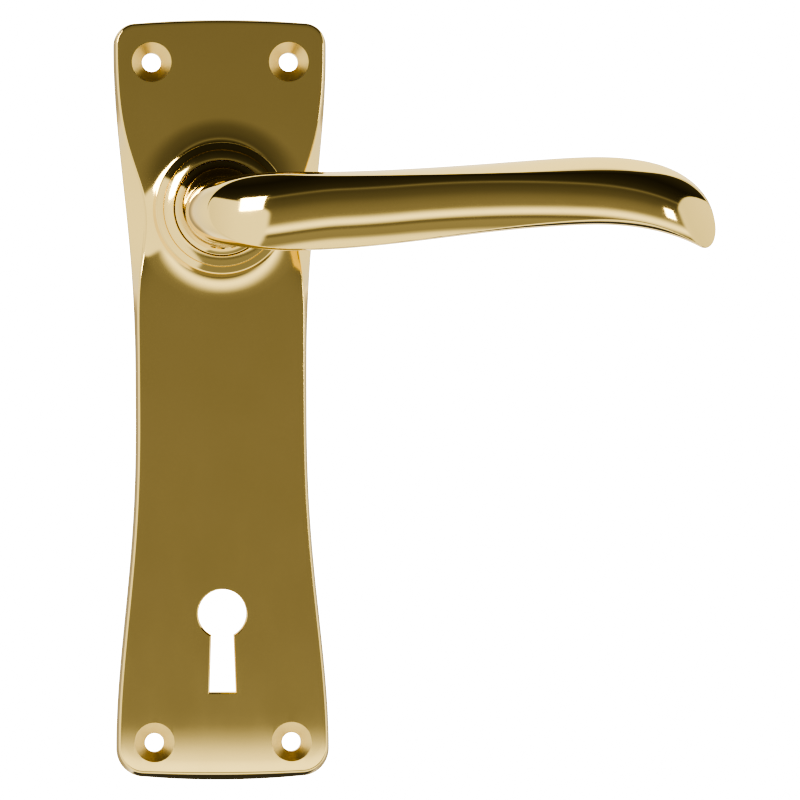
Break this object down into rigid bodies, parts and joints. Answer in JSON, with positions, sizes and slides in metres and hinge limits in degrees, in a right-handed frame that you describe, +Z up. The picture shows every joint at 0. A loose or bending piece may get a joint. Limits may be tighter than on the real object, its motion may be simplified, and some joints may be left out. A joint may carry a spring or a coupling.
{
  "type": "lever door handle",
  "caption": "Polished brass lever door handle on a waisted lock backplate, with its bearing, return spring, driver plate and square spindle.",
  "frame": {"origin": "on the spindle's axis, in the plane of the backplate's back, where it lies on the door", "axes": "+X along the lever towards its free end, +Y into the door along the spindle, +Z up the backplate"},
  "size_m": [0.115, 0.1263, 0.15],
  "materials": {
    "polished_brass": "polished and lacquered",
    "spring_steel": "oiled spring wire",
    "plated_steel": "zinc plated",
    "nylon": "natural moulded nylon"
  },
  "bodies": {
    "plate": {"backplate": "polished_brass", "boss_ring": "polished_brass", "bearing_bush": "nylon", "stop_pins": "plated_steel", "spring_anchor_pin": "plated_steel", "return_spring": "spring_steel"},
    "handle": {"lever": "polished_brass", "thrust_washer": "nylon", "driver_plate": "plated_steel", "wave_washer": "spring_steel", "circlip": "spring_steel", "spindle": "plated_steel", "grub_screw": "plated_steel"}
  },
  "joints": [
    {"name": "lever_turn", "type": "hinge", "parent": "plate", "child": "handle", "pos_m": [0, 0, 0], "axis": [0, 1, 0], "range_deg": [0, 50], "stiffness_Nm_per_rad": 1, "springref_deg": -20.05, "deforming": ["return_spring"]}
  ]
}
